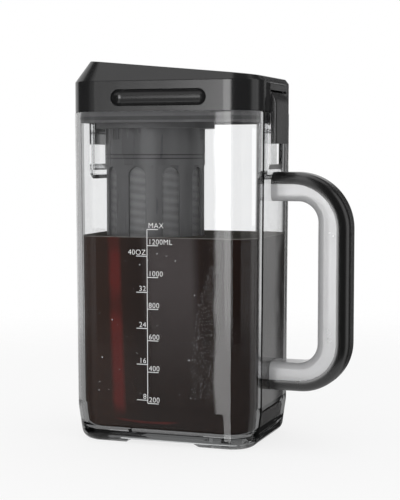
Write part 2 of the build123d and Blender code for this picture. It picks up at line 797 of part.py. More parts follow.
def push_rod():
    left = push_face_x()
    knee = rod_end_x() - ROD_END_LENGTH
    end = rod_end_x()
    side = prism(
        [
            (left, rod_bottom(left)),
            (knee, rod_bottom(knee)),
            (end, rod_bottom(knee)),
            (end, rod_bottom(knee) + ROD_HEIGHT),
            (knee, rod_bottom(knee) + ROD_HEIGHT),
            (left, rod_bottom(left) + ROD_HEIGHT),
        ],
        ARM_OUTER,
    )
    bar = block(x=(YOKE_X, FAR), y=(-ROD_HALF, ROD_HALF))
    beam = block(x=(YOKE_X, YOKE_X + YOKE_WIDTH), y=(-ARM_OUTER, ARM_OUTER))
    arms = block(x=(-FAR, YOKE_X + YOKE_WIDTH / 2)) & pair(ARM_INNER, ARM_OUTER)
    return (side & (bar + beam + arms)) + rod_forks() + rod_hooks()


def spout_flap():
    panel = lid_form(0, 0, rounded=True) - skin(FLAP_THICK)
    panel &= block(x=(-FAR, HINGE_X), y=(-FLAP_HALF, FLAP_HALF), z=(FLAP_LOW_Z, FAR))
    flap = panel + rod_along_y(HINGE_X, HINGE_Z, BARREL_RADIUS, FLAP_HALF)
    flap += rod_along_y(HINGE_X, HINGE_Z, BARREL_END_RADIUS, BARREL_HALF)
    flap += rod_along_y(CAM_X, CAM_Z, CAM_RADIUS, ARM_OUTER) & pair(ARM_INNER, ARM_OUTER)
    return flap - rod_along_y(HINGE_X, HINGE_Z, FLAP_PIN_RADIUS + RUNNING_GAP, FAR)


def flap_seal():
    """Soft pad under the flap that closes the mouth."""
    layer = skin(FLAP_THICK) - skin(FLAP_THICK + SEAL_THICK)
    right = MOUTH_RIGHT + MOUTH_WALL / 2
    return layer & block(x=(-FAR, right), y=(-SEAL_HALF, SEAL_HALF), z=(SEAL_LOW_Z, FAR))


# --- Filter ---

def filter_cup():
    """Closed upper part of the filter: bayonet lugs, grip ribs and two fine ring grooves."""
    cup = tube(CUP_RADIUS, CUP_RADIUS - CUP_WALL, CUP_BOTTOM, CUP_TOP)
    lugs = tube(LUG_RADIUS, CUP_RADIUS - CUP_WALL / 2, LUG_LOW, LUG_HIGH)
    rib = block(
        x=(CUP_RADIUS - CUP_WALL / 2, CUP_RADIUS + RIB_PROUD),
        y=(-RIB_WIDTH / 2, RIB_WIDTH / 2),
        z=(RIB_TOP - RIB_HEIGHT, RIB_TOP),
    )
    for index in range(LUGS):
        angle = index * 360 / LUGS
        cup += lugs & sector(LUG_RADIUS, angle, LUG_ANGLE)
        for turn in (-RIB_SPACING, 0, RIB_SPACING):
            cup += Rot(0, 0, angle + turn) * rib
    for z in CUP_GROOVES:
        groove = (z - GROOVE_HEIGHT / 2, z + GROOVE_HEIGHT / 2)
        cup -= tube(CUP_RADIUS + CUP_WALL, CUP_RADIUS - GROOVE_DEPTH, *groove)
    return Pos(FILTER_X, 0, 0) * cup


def cage_window(low, high):
    """Cutter for one opening of the cage, with an arched top."""
    half = WINDOW_WIDTH / 2
    springing = high - half
    face = Pos(0, (low + springing) / 2) * Rectangle(WINDOW_WIDTH, springing - low)
    face += Pos(0, springing) * Circle(half)
    return Rot(0, 0, 90) * extrude(Plane.XZ * face, -CAGE_RADIUS - CAGE_WALL)


def filter_cage():
    """Skeleton of the filter: two tiers of arched windows and a spigot that the cup sits on."""
    inner = CAGE_RADIUS - CAGE_WALL
    spigot = CUP_RADIUS - CUP_WALL - SPIGOT_GAP
    cage = raise_to(Circle(CAGE_RADIUS), CAGE_BOTTOM, CUP_BOTTOM)
    cage = chamfer(edges_at(cage, CAGE_BOTTOM), CAGE_CHAMFER)
    cage += raise_to(Circle(spigot), CUP_BOTTOM, SPIGOT_TOP)
    cage -= raise_to(Circle(inner), CAGE_BOTTOM + CAGE_FLOOR, CUP_BOTTOM - LEDGE)
    cage -= raise_to(Circle(spigot - SPIGOT_WALL), CAGE_BOTTOM + CAGE_FLOOR, FAR)
    cage -= raise_to(Circle(DRAIN_RADIUS), 0, FAR)
    upper = cage_window(TIER_SPLIT + TIER_BAND / 2, WINDOW_ARCH_TOP)
    lower = cage_window(WINDOW_SILL, TIER_SPLIT - TIER_BAND / 2)
    for index in range(WINDOWS):
        turn = Rot(0, 0, WINDOW_START + index * 360 / WINDOWS)
        cage -= turn * upper
        cage -= turn * lower
    return Pos(FILTER_X, 0, 0) * cage


def filter_mesh():
    """Fine metal sleeve inside the cage, up to the ledge under the spigot."""
    radius = CAGE_RADIUS - CAGE_WALL
    low = CAGE_BOTTOM + CAGE_FLOOR + MESH_WALL
    return Pos(FILTER_X, 0, 0) * tube(radius, radius - MESH_WALL, low, CUP_BOTTOM - LEDGE)


def filter_floor_mesh():
    """Fine metal disc on the cage's floor ring."""
    low = CAGE_BOTTOM + CAGE_FLOOR
    return Pos(FILTER_X, 0, 0) * raise_to(Circle(CAGE_RADIUS - CAGE_WALL), low, low + MESH_WALL)


def filter_seal():
    """Soft ring between the top of the cup and the tray."""
    ring = tube(FILTER_SEAL_RADIUS, CUP_RADIUS - CUP_WALL, CUP_TOP, TRAY_BOTTOM - FILTER_SEAL_GAP)
    return Pos(FILTER_X, 0, 0) * ring


JUG_SOLID = jug_form(0, 0, blended=True)

save("pitcher", pitcher())
save("handle_core", handle_core())
save("handle_cover", handle_cover())
save("lid_shell", lid_shell())
save("lid_plug", lid_plug())
save("filter_socket", filter_socket())
save("spout_channel", spout_channel())
save("lid_seal", lid_seal())
save("spout_strainers", spout_strainers())
save("pour_lever", pour_lever())
save("lever_pin", lever_pin())
save("lever_spring", lever_spring())
save("push_rod", push_rod())
save("spout_flap", spout_flap())
save("flap_seal", flap_seal())
save("flap_pin", flap_pin())
save("filter_cup", filter_cup())
save("filter_cage", filter_cage())
save("filter_mesh", filter_mesh())
save("filter_floor_mesh", filter_floor_mesh())
save("filter_seal", filter_seal())
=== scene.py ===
"""Dresses a cold brew jug: finishes for every part, the coffee, the printed scale, the dew and the stage."""

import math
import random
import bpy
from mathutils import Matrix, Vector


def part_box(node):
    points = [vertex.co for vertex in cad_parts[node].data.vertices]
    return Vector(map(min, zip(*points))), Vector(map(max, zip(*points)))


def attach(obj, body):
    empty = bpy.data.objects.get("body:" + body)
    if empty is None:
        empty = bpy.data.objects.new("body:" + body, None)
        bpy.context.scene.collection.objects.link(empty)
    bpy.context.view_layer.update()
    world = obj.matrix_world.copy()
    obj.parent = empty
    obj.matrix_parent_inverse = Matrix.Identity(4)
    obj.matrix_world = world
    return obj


bl_info = {
    "name": "Cold Brew Jug",
    "version": (1, 0, 0),
    "blender": (4, 5, 0),
    "location": "View3D > Sidebar > Cold Brew",
    "description": "Finishes, contents and stage of a cold brew jug",
    "category": "Object",
}

import bmesh
import bpy
from bpy.props import FloatProperty, FloatVectorProperty, IntProperty, PointerProperty
from mathutils import Matrix, Vector

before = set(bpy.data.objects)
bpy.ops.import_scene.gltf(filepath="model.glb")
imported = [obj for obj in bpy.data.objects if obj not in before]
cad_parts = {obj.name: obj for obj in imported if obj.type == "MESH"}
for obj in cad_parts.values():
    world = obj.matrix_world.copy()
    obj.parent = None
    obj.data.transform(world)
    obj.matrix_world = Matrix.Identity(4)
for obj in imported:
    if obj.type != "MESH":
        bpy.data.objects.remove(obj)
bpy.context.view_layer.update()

MM = 0.001

# The jug's own axis in the shared frame, and the form of its walls
JUG_LOW, JUG_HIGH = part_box("pitcher")
JUG_MIDDLE = (JUG_LOW.x + JUG_HIGH.x) / 2
RIM_Z = JUG_HIGH.z
RIM_HALF_WIDTH = (JUG_HIGH.x - JUG_LOW.x) / 2
RIM_HALF_DEPTH = (JUG_HIGH.y - JUG_LOW.y) / 2
WALL = 3.0 * MM
CORNER = 20.4 * MM
DRAFT = math.radians(0.36)
FLOOR_Z = 7.0 * MM
HEEL_Z = 25.5 * MM
HEEL_DRAFT = math.radians(8.0)
HEEL_EASE = 2.5 * MM
HEEL_ROUND = 5.0 * MM

# How near two heights are that count as one
NEAR = 0.1 * MM

# Weave of the filter's steel mesh, and the slow bands that show in it
MESH_PITCH = 0.55 * MM
BAND_PITCH = 5.2 * MM
BAND_SLANT = 0.12

# How much the clouds and the bands add to the mesh's tone, and what it has without them
MESH_CLOUDS = 0.5
MESH_BANDS = 0.12
MESH_EVEN = 0.28

# Red light beside the filter: its edges from the filter's axis, their softness, its lean, and the heights
# between which it fades in
BEAM_LEFT = -12.0 * MM
BEAM_RIGHT = -4.5 * MM
BEAM_SOFT = 4.0 * MM
BEAM_LEAN = 0.03
BEAM_FOOT = (16 * MM, 28 * MM)

# Painted red light in a line that sags along the coffee's foot
FOOT_LEFT = -8.5 * MM
FOOT_RIGHT = 28.0 * MM
FOOT_SOFT = 12.0 * MM
FOOT_MIDDLE = (BEAM_RIGHT + FOOT_RIGHT) / 2
FOOT_SAG = 3.0
FOOT_Z = 14.0 * MM
FOOT_THICK = 1.2 * MM

# Painted reflection, a faint grey sheen on the right of the coffee: its edges from the filter's axis, their
# softness, the heights between which it sets in, and its share of the colour at the top
SHEEN_LEFT = 13 * MM
SHEEN_RIGHT = 46 * MM
SHEEN_SOFT = 9 * MM
SHEEN_Z = (30 * MM, 110 * MM)
SHEEN_SHARE = 0.9

# Stretch from the filter's axis across which the painted light that makes the coffee's left side browner
# fades out
LEFT_LIGHT_X = (-20 * MM, 14 * MM)

# Painted highlight in a line where the coffee's surface meets the wall: where it sets in and is full, down
# from the top
RIM_HIGHLIGHT = (0.5 * MM, 0.2 * MM)

# The place that the jug is looked at from
CAMERA_SPOT = Vector((0.27765, -0.82639, 0.18582))
CAMERA_TARGET = Vector((-0.01356, 0.0, 0.1221))
CAMERA_LENS = 96.63
FILM_HEIGHT = 36.0
CLIP_START = 0.01

# Colours that the finishes waver between
CLEAR_TONES = ((0.97, 0.975, 0.98, 1), (1, 1, 1, 1))
MILKY_TONES = ((0.62, 0.62, 0.63, 1), (0.74, 0.74, 0.75, 1))
MESH_TONES = ((0.16, 0.16, 0.16, 1), (0.52, 0.52, 0.53, 1))
DRAWN_TONES = ((0.48, 0.48, 0.49, 1), (0.62, 0.62, 0.63, 1))
SILICONE_TONES = ((0.06, 0.06, 0.062, 1), (0.10, 0.10, 0.102, 1))
PRINT_TONES = ((0.80, 0.80, 0.80, 1), (0.92, 0.92, 0.92, 1))
DEW_TONES = ((0.96, 0.97, 0.98, 1), (1, 1, 1, 1))
PAPER_TONES = ((0.93, 0.93, 0.93, 1), (0.96, 0.96, 0.96, 1))
TOP_SHEEN_TONES = ((0.085, 0.078, 0.068, 1), (0.125, 0.112, 0.098, 1))
RIM_HIGHLIGHT_TONE = (0.3, 0.28, 0.26, 1)
SHEEN_TONE = (0.105, 0.09, 0.09, 1)
LEFT_LIGHT_TONE = (0.034, 0.014, 0.008, 1)
WHITE = (1, 1, 1, 1)

# How many times as light as its colour some parts of a finish are: the upright streaks of the black plastics,
# partly a painted reflection, the painted shade in the cup's grooves, and the coffee's streaks
FLOW_AND_REFLECTION_LIGHT = 1.6
GROOVE_SHADE = 0.35
STREAK_LIGHT = 1.9

# Painted shade in dark rings round the filter's cup, at its grooves: half their width and the softness of
# their edges
GROOVE_SHADE_HALF = 0.4 * MM
GROOVE_SHADE_SOFT = 0.3 * MM

# How much rougher or smoother than their setting the black plastics are in places
UNEVEN = 0.12

PLASTIC_IOR = 1.5
WATER_IOR = 1.33


def wall_shrink(z):
    """How far the drafted wall has come in at height z, from its place at the rim."""
    return (RIM_Z - z) * math.tan(DRAFT)


def front_wall_y(z):
    """Outer face of the front wall at height z."""
    return -(RIM_HALF_DEPTH - wall_shrink(z))


def filter_axis_x():
    """Place of the filter's upright axis."""
    low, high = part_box("filter_cage")
    return (low.x + high.x) / 2


def filter_radius():
    """Radius at which the mesh lies round that axis."""
    low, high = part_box("filter_mesh")
    return (high.x - low.x) / 2


def share_of(span, share):
    """The place in a span at a share of its length."""
    return span[0] + (span[1] - span[0]) * share


def tone_of(colour, factor=1.0):
    """A colour setting, made lighter or darker, as a socket takes it."""
    return (*(factor * part for part in colour), 1)


# --- Modelling helpers ---

def deselect():
    """Leave edit mode and select nothing."""
    if bpy.context.object and bpy.context.object.mode != "OBJECT":
        bpy.ops.object.mode_set(mode="OBJECT")
    bpy.ops.object.select_all(action="DESELECT")


def pick(piece, mode, test):
    """Enter edit mode on piece with only the vertices, edges or faces selected that pass test."""
    bpy.context.view_layer.objects.active = piece
    if piece.mode != "EDIT":
        bpy.ops.object.mode_set(mode="EDIT")
    bpy.ops.mesh.select_mode(type=mode)
    bpy.ops.mesh.select_all(action="DESELECT")
    shape = bmesh.from_edit_mesh(piece.data)
    if mode == "VERT":
        chosen = [vertex for vertex in shape.verts if test(vertex.co)]
    elif mode == "EDGE":
        chosen = [edge for edge in shape.edges if test(edge.verts[0].co, edge.verts[1].co)]
    else:
        chosen = [face for face in shape.faces if test(face.calc_center_median(), face.normal)]
    for part in chosen:
        part.select_set(True)
    shape.select_flush_mode()
    bmesh.update_edit_mesh(piece.data)


def settle(piece, name):
    """Finish a new piece: object mode, name, and its place written into its mesh."""
    bpy.ops.object.mode_set(mode="OBJECT")
    piece.name = name
    piece.data.name = name
    deselect()
    piece.select_set(True)
    bpy.context.view_layer.objects.active = piece
    bpy.ops.object.transform_apply(location=True, rotation=True, scale=True)
    return piece


def smooth(piece, degrees):
    """Shade a piece smooth where its faces meet at less than that angle."""
    deselect()
    piece.select_set(True)
    bpy.context.view_layer.objects.active = piece
    bpy.ops.object.shade_smooth_by_angle(angle=math.radians(degrees))


def join(pieces, name):
    """Make one object of several."""
    deselect()
    for piece in pieces:
        piece.select_set(True)
    bpy.context.view_layer.objects.active = pieces[0]
    bpy.ops.object.join()
    return settle(pieces[0], name)


def paint(piece, material):
    """Give a piece one material all over."""
    piece.data.materials.clear()
    piece.data.materials.append(material)


def dress(node, material):
    """Give a CAD node a better material in its own slots."""
    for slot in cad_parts[node].material_slots:
        slot.material = material


# --- Shader helpers ---

class Wire:
    """An output of a shader node that can be added, multiplied and so on, as numbers can."""

    def __init__(self, finish, socket):
        self.finish = finish
        self.socket = socket

    def maths(self, operation, *values):
        """Add the Math node of one operation."""
        return self.finish.add("ShaderNodeMath", {"operation": operation}, dict(enumerate(values)))

    def wave(self):
        """Sine, from -1 to 1."""
        return self.maths("SINE", self)

    def angle(self, adjacent):
        """Angle whose opposite side is this, in radians."""
        return self.maths("ARCTAN2", self, adjacent)

    def at_most(self, limit):
        """The smaller of this and a limit."""
        return self.maths("MINIMUM", self, limit)

    def __add__(self, other):
        return self.maths("ADD", self, other)

    def __sub__(self, other):
        return self.maths("SUBTRACT", self, other)

    def __rsub__(self, other):
        return self.maths("SUBTRACT", other, self)

    def __mul__(self, other):
        return self.maths("MULTIPLY", self, other)

    def __pow__(self, other):
        return self.maths("POWER", self, other)

    def __abs__(self):
        return self.maths("ABSOLUTE", self)

    __radd__ = __add__
    __rmul__ = __mul__


class Finish:
    """The node tree of one material or world, written as expressions."""

    def __init__(self, owner):
        self.owner = owner
        owner.use_nodes = True
        self.tree = owner.node_tree
        self.tree.nodes.clear()

    def add(self, kind, settings=None, values=None, output=0):
        """Add a node: its settings first, then the values or links of its sockets."""
        node = self.tree.nodes.new(kind)
        for name, value in (settings or {}).items():
            setattr(node, name, value)
        for name, value in (values or {}).items():
            if isinstance(value, Wire):
                self.tree.links.new(value.socket, node.inputs[name])
            else:
                node.inputs[name].default_value = value
        return Wire(self, node.outputs[output]) if node.outputs else node

    def place(self):
        """Object coordinates, in metres."""
        return self.add("ShaderNodeTexCoord", output="Object")

    def axes(self, vector):
        """The three numbers of a vector."""
        node = self.add("ShaderNodeSeparateXYZ", values={0: vector}).socket.node
        return [Wire(self, socket) for socket in node.outputs]

    def noise(self, size, detail=2.0, height_scale=1.0):
        """Soft noise from 0 to 1 whose lumps are size metres wide, and taller with a height_scale below 1."""
        place = self.place()
        if height_scale != 1.0:
            place = self.add("ShaderNodeMapping", values={"Vector": place, "Scale": (1, 1, height_scale)})
        return self.add("ShaderNodeTexNoise", values={"Vector": place, "Scale": 1 / size, "Detail": detail})

    def band(self, value, low, high, soft):
        """1 between low and high, 0 outside, with edges soft wide."""
        rise = self.ramp(value, low - soft / 2, low + soft / 2)
        return rise * self.ramp(value, high - soft / 2, high + soft / 2, 1.0, 0.0)

    def ramp(self, value, low, high, start=0.0, end=1.0):
        """Smooth step: start up to low, end from high on."""
        settings = {"interpolation_type": "SMOOTHSTEP"}
        values = {0: value, 1: low, 2: high, 3: start, 4: end}
        return self.add("ShaderNodeMapRange", settings, values)

    def blend(self, share, first, second):
        """Mix of two colours."""
        values = {"Factor": share, 6: first, 7: second}
        return self.add("ShaderNodeMix", {"data_type": "RGBA"}, values, output=2)

    def bump(self, height, depth):
        """Normal of a surface with lumps of that height, depth metres at most."""
        return self.add("ShaderNodeBump", values={"Height": height, "Distance": depth, "Strength": 1.0})

    def plastic(self, values):
        """Principled surface with these sockets set."""
        return self.add("ShaderNodeBsdfPrincipled", values=values)

    def close(self, surface, volume=None):
        """Link the surface, and the volume where there is one, to the output."""
        kind = "World" if isinstance(self.owner, bpy.types.World) else "Material"
        sockets = {"Surface": surface}
        if volume:
            sockets["Volume"] = volume
        self.add("ShaderNodeOutput" + kind, values=sockets)
        return self.owner


def new_finish(name):
    """Empty node tree of a new material."""
    return Finish(bpy.data.materials.new(name))


def let_light_through(finish, surface):
    """The surface, but clear to shadow rays, so that light reaches what lies behind it."""
    path = finish.add("ShaderNodeLightPath", output="Is Shadow Ray")
    clear = finish.add("ShaderNodeBsdfTransparent")
    return finish.add("ShaderNodeMixShader", values={0: path, 1: surface, 2: clear})


# --- Finishes ---

def clear_plastic(name, tint):
    """Clear moulded plastic: faint ripples, a little haze and grey where it is looked through lengthwise."""
    finish = new_finish(name)
    haze = finish.noise(size=9 * MM, detail=3.0)
    waves = finish.noise(size=26 * MM, detail=1.0)
    surface = finish.plastic({
        "Base Color": finish.blend(haze, *CLEAR_TONES),
        "Roughness": finish.ramp(haze, low=0.35, high=0.8, start=0.004, end=0.03),
        "IOR": PLASTIC_IOR,
        "Transmission Weight": 1.0,
        "Normal": finish.bump(waves, depth=0.02 * MM),
    })
    volume = finish.add("ShaderNodeVolumeAbsorption", values={"Color": tone_of(tint), "Density": 9.0})
    return finish.close(let_light_through(finish, surface), volume)


def milky_plastic(name):
    """Frosted clear plastic of the handle's core."""
    finish = new_finish(name)
    cloud = finish.noise(size=14 * MM)
    surface = finish.plastic({
        "Base Color": finish.blend(cloud, *MILKY_TONES),
        "Roughness": finish.ramp(cloud, low=0.3, high=0.8, start=0.16, end=0.28),
        "IOR": PLASTIC_IOR,
        "Transmission Weight": 0.5,
        "Coat Weight": 0.3,
        "Coat Roughness": 0.05,
    })
    return finish.close(let_light_through(finish, surface))


def moulded_black(name, colour, roughness, grain, grain_depth, shine=0.5, streak_size=22 * MM, shaded_grooves=()):
    """Black plastic with a fine moulded grain, lighter upright streaks that are moulded flow lines and on the
    filter also a painted reflection of strip lights, and painted shade in rings at some heights.
    """
    finish = new_finish(name)
    # Lighter upright streaks: moulded flow lines, and where they are narrow, as on the filter, also a painted
    # reflection of strip lights
    flow_and_reflection = finish.noise(streak_size, detail=3.0, height_scale=0.15)
    fine = finish.noise(grain)
    smoother = roughness * (1 - UNEVEN)
    rougher = roughness * (1 + UNEVEN)
    tone = finish.blend(flow_and_reflection, tone_of(colour), tone_of(colour, FLOW_AND_REFLECTION_LIGHT))
    # Painted shade: a dark ring at each groove's height
    for height in shaded_grooves:
        z = finish.axes(finish.place())[2]
        groove_shade = finish.band(z, height - GROOVE_SHADE_HALF, height + GROOVE_SHADE_HALF, GROOVE_SHADE_SOFT)
        tone = finish.blend(groove_shade, tone, tone_of(colour, GROOVE_SHADE))
    surface = finish.plastic({
        "Base Color": tone,
        "Specular IOR Level": shine,
        "Roughness": finish.ramp(flow_and_reflection, low=0.25, high=0.8, start=smoother, end=rougher),
        "Normal": finish.bump(fine, grain_depth),
    })
    return finish.close(surface)


def woven_steel(name):
    """Fine woven steel: crossing wires with pin holes, and the slow bands that two layers of it make."""
    finish = new_finish(name)
    x, y, z = finish.axes(finish.place())
    along = y.angle(x - filter_axis_x()) * filter_radius()
    weft = (along * (2 * math.pi / MESH_PITCH)).wave()
    warp = (z * (2 * math.pi / MESH_PITCH)).wave()
    weave = abs(weft) * abs(warp)
    bands = ((z + along * BAND_SLANT) * (2 * math.pi / BAND_PITCH)).wave()
    cloud = finish.noise(size=7 * MM)
    tone = cloud * MESH_CLOUDS + bands * MESH_BANDS + MESH_EVEN
    surface = finish.plastic({
        "Base Color": finish.blend(tone, *MESH_TONES),
        "Metallic": 0.6,
        "Roughness": finish.ramp(cloud, low=0.2, high=0.8, start=0.42, end=0.58),
        "Alpha": finish.ramp(weave, low=0.55, high=0.8, start=1.0, end=0.35),
        "Normal": finish.bump(weave, depth=-0.04 * MM),
    })
    return finish.close(surface)


def drawn_steel(name):
    """Bright steel of the pins, spring and strainer plates."""
    finish = new_finish(name)
    streaks = finish.noise(size=3 * MM, detail=4.0)
    surface = finish.plastic({
        "Base Color": finish.blend(streaks, *DRAWN_TONES),
        "Metallic": 1.0,
        "Roughness": finish.ramp(streaks, low=0.2, high=0.8, start=0.22, end=0.38),
    })
    return finish.close(surface)


def soft_silicone(name):
    """Smoke-coloured silicone of the seals."""
    finish = new_finish(name)
    cloud = finish.noise(size=8 * MM)
    surface = finish.plastic({
        "Base Color": finish.blend(cloud, *SILICONE_TONES),
        "Roughness": finish.ramp(cloud, low=0.2, high=0.8, start=0.42, end=0.6),
        "Subsurface Weight": 0.3,
        "Subsurface Radius": (2 * MM, 2 * MM, 2 * MM),
    })
    return finish.close(surface)


def coffee_liquid(name, body, glow, top):
    """Dark coffee with painted light: browner on its left, red light beside the filter and along its foot, a
    grey reflection on its right, a highlight at its rim and a lighter top.
    """
    finish = new_finish(name)
    x, y, z = finish.axes(finish.place())
    across = x - filter_axis_x() + z * BEAM_LEAN
    streaks = finish.noise(size=7 * MM, detail=3.0, height_scale=0.12)
    swirl = finish.noise(size=30 * MM)
    dark = finish.blend(streaks, tone_of(body), tone_of(body, STREAK_LIGHT))
    # Painted light: the left side is browner
    dark = finish.blend(finish.ramp(across, *LEFT_LIGHT_X, start=1.0, end=0.0), dark, LEFT_LIGHT_TONE)
    # Painted reflection: a faint grey sheen on the right
    sheen = finish.band(across, SHEEN_LEFT, SHEEN_RIGHT, SHEEN_SOFT) * finish.ramp(z, *SHEEN_Z)
    dark = finish.blend(sheen * SHEEN_SHARE, dark, SHEEN_TONE)
    side = finish.blend(coffee_glow(finish, across, z, streaks, swirl), dark, tone_of(glow))
    # Painted highlight along the rim
    rim = finish.ramp(z, top - RIM_HIGHLIGHT[0], top - RIM_HIGHLIGHT[1])
    side = finish.blend(rim, side, RIM_HIGHLIGHT_TONE)
    # Painted reflection: faces that look up take the lighter tones of a sheen, since the coffee itself
    # mirrors nothing
    normal = finish.add("ShaderNodeNewGeometry", output="Normal")
    upward = finish.ramp(finish.axes(normal)[2], low=0.6, high=0.9)
    surface = finish.plastic({
        "Base Color": finish.blend(upward, side, finish.blend(swirl, *TOP_SHEEN_TONES)),
        "Roughness": finish.ramp(swirl, low=0.3, high=0.8, start=0.3, end=0.5),
        "IOR": WATER_IOR,
        "Specular IOR Level": 0.0,
    })
    return finish.close(surface)


def coffee_glow(finish, across, z, streaks, swirl):
    """Where light comes through the coffee: an upright beam, and a line that sags along the foot."""
    beam = finish.band(across, BEAM_LEFT, BEAM_RIGHT, BEAM_SOFT) * finish.ramp(z, *BEAM_FOOT)
    beam = beam * finish.ramp(swirl, low=0.35, high=0.62, start=0.45, end=1.1)
    sag = (across - FOOT_MIDDLE) ** 2 * FOOT_SAG
    line = finish.band(z - sag, FOOT_Z, FOOT_Z + FOOT_THICK, FOOT_THICK)
    foot = finish.band(across, FOOT_LEFT, FOOT_RIGHT, FOOT_SOFT) * line
    return beam + foot * finish.ramp(streaks, low=0.25, high=0.7, start=0.6, end=1.0)


def screen_print(name):
    """White screen print, a little thin in places."""
    finish = new_finish(name)
    worn = finish.noise(size=0.6 * MM, detail=3.0)
    surface = finish.plastic({
        "Base Color": finish.blend(worn, *PRINT_TONES),
        "Roughness": finish.ramp(worn, low=0.2, high=0.8, start=0.4, end=0.6),
    })
    return finish.close(surface)


def dew_water(name):
    """Water of the dew on the cold wall, faintly milky."""
    finish = new_finish(name)
    swirl = finish.noise(size=4 * MM)
    surface = finish.plastic({
        "Base Color": finish.blend(swirl, *DEW_TONES),
        "Roughness": finish.ramp(swirl, low=0.3, high=0.8, start=0.0, end=0.03),
        "IOR": WATER_IOR,
        "Transmission Weight": 0.87,
    })
    return finish.close(let_light_through(finish, surface))


# --- Settings that a user would change ---

class BrewSettings(bpy.types.PropertyGroup):
    """The coffee in the jug and the dew on it."""

    level: FloatProperty(
        name="Level", description="Height of the coffee's surface",
        default=0.1318, min=0.03, max=0.17, unit="LENGTH",
    )
    body: FloatVectorProperty(
        name="Body", description="Colour of the coffee in its depth",
        default=(0.014, 0.0072, 0.0054), min=0, max=1, subtype="COLOR",
    )
    glow: FloatVectorProperty(
        name="Glow", description="Colour of the coffee where light comes through it",
        default=(0.14, 0.018, 0.014), min=0, max=1, subtype="COLOR",
    )
    drops: IntProperty(
        name="Drops", description="Number of dew drops on the front",
        default=420, min=0, max=2000,
    )


class PrintSettings(bpy.types.PropertyGroup):
    """The volume scale on the front wall."""

    line_x: FloatProperty(
        name="Line", description="Place of the scale's upright, from the jug's middle",
        default=-0.0074, unit="LENGTH",
    )
    line_width: FloatProperty(
        name="Line width", description="Width of the scale's lines",
        default=0.00042, min=0.0001, unit="LENGTH",
    )
    tick: FloatProperty(
        name="Tick", description="Length of the scale's ticks",
        default=0.0074, min=0.001, unit="LENGTH",
    )
    letters: FloatProperty(
        name="Letters", description="Height of the scale's figures",
        default=0.0034, min=0.001, unit="LENGTH",
    )


class StageSettings(bpy.types.PropertyGroup):
    """Floor and light."""

    floor_radius: FloatProperty(
        name="Floor radius", description="Radius of the pale floor",
        default=0.8, min=0.2, unit="LENGTH",
    )
    front_power: FloatProperty(
        name="Front softbox", description="Power of the softbox in front",
        default=2.4, min=0, unit="POWER",
    )
    top_power: FloatProperty(
        name="Top softbox", description="Power of the softbox above",
        default=2.4, min=0, unit="POWER",
    )
    room_light: FloatProperty(
        name="Room light", description="Level of the light from all round",
        default=0.62, min=0, max=2,
    )


class FinishSettings(bpy.types.PropertyGroup):
    """Colours of the plastics."""

    clear_tint: FloatVectorProperty(
        name="Clear tint", description="Grey that shows where the clear plastic is deep",
        default=(0.52, 0.54, 0.55), min=0, max=1, subtype="COLOR",
    )
    satin_black: FloatVectorProperty(
        name="Satin black", description="Colour of the lid",
        default=(0.010, 0.010, 0.0103), min=0, max=1, subtype="COLOR",
    )
    gloss_black: FloatVectorProperty(
        name="Gloss black", description="Colour of the handle's cover",
        default=(0.005, 0.005, 0.005), min=0, max=1, subtype="COLOR",
    )
    filter_black: FloatVectorProperty(
        name="Filter black", description="Colour of the filter's plastic",
        default=(0.11, 0.11, 0.113), min=0, max=1, subtype="COLOR",
    )


# --- Operators ---

class BREW_OT_dress_jug(bpy.types.Operator):
    """Give the clear jug and both halves of its handle their finishes"""

    bl_idname = "brew.dress_jug"
    bl_label = "Dress jug"

    def execute(self, context):
        colours = context.scene.jug_finish
        dress("pitcher", clear_plastic("clear_wall", colours.clear_tint))
        dress("handle_core", milky_plastic("milky_core"))
        dress("handle_cover", moulded_black(
            "gloss_cover", colours.gloss_black,
            roughness=0.26, grain=1.2 * MM, grain_depth=0.0004 * MM, shine=1.0,
        ))
        return {"FINISHED"}


class BREW_OT_dress_lid(bpy.types.Operator):
    """Give the lid, lever and flap their finishes"""

    bl_idname = "brew.dress_lid"
    bl_label = "Dress lid"

    def execute(self, context):
        colours = context.scene.jug_finish
        satin = moulded_black(
            "satin_lid", colours.satin_black,
            roughness=0.2, grain=0.5 * MM, grain_depth=0.002 * MM, shine=0.65,
        )
        smoke = moulded_black(
            "smoke_inner", colours.filter_black,
            roughness=0.42, grain=0.6 * MM, grain_depth=0.004 * MM,
        )
        for node in ("lid_shell", "pour_lever", "spout_flap"):
            dress(node, satin)
        for node in ("lid_plug", "filter_socket", "spout_channel", "push_rod"):
            dress(node, smoke)
        steel = drawn_steel("bright_steel")
        for node in ("lever_pin", "lever_spring", "flap_pin", "spout_strainers"):
            dress(node, steel)
        silicone = soft_silicone("grey_silicone")
        for node in ("lid_seal", "flap_seal"):
            dress(node, silicone)
        return {"FINISHED"}


class BREW_OT_dress_filter(bpy.types.Operator):
    """Give the filter's cage, cup and mesh their finishes"""

    bl_idname = "brew.dress_filter"
    bl_label = "Dress filter"

    # Heights of the two grooves round the cup, where shade is painted in dark rings
    GROOVES = (182.0 * MM, 184.4 * MM)

    def execute(self, context):
        colour = context.scene.jug_finish.filter_black
        # The narrow upright streaks of the cage and cup are partly a painted reflection of strip lights
        dress("filter_cage", moulded_black(
            "cage_plastic", colour,
            roughness=0.3, grain=0.8 * MM, grain_depth=0.001 * MM, streak_size=6 * MM,
        ))
        dress("filter_cup", moulded_black(
            "cup_plastic", colour,
            roughness=0.3, grain=0.8 * MM, grain_depth=0.001 * MM, streak_size=9 * MM, shaded_grooves=self.GROOVES,
        ))
        woven = woven_steel("woven_steel")
        for node in ("filter_mesh", "filter_floor_mesh"):
            dress(node, woven)
        dress("filter_seal", soft_silicone("filter_silicone"))
        return {"FINISHED"}


